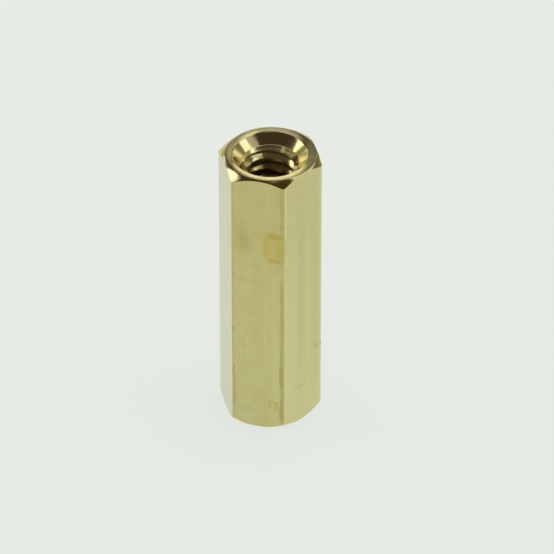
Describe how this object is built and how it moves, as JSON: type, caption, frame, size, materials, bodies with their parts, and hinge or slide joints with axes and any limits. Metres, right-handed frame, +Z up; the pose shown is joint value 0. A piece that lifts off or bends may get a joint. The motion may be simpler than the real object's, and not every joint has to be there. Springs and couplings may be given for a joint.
{
  "type": "hex standoff",
  "caption": "Short brass hexagon spacer with a tapped hole right through it, chamfered and countersunk at both ends, which holds two panels apart.",
  "frame": {"origin": "centre of the hole in the plane of the lower end face, which it stands on", "axes": "+Z up along the hole, to the upper end face; +X towards one of the six long corners, +Y square to one of the flats"},
  "size_m": [0.0054, 0.0048, 0.0159],
  "materials": {
    "brass": "drawn and turned bare brass, dulled, with light handling stains"
  },
  "bodies": {
    "root": {"standoff": "brass"}
  },
  "joints": []
}
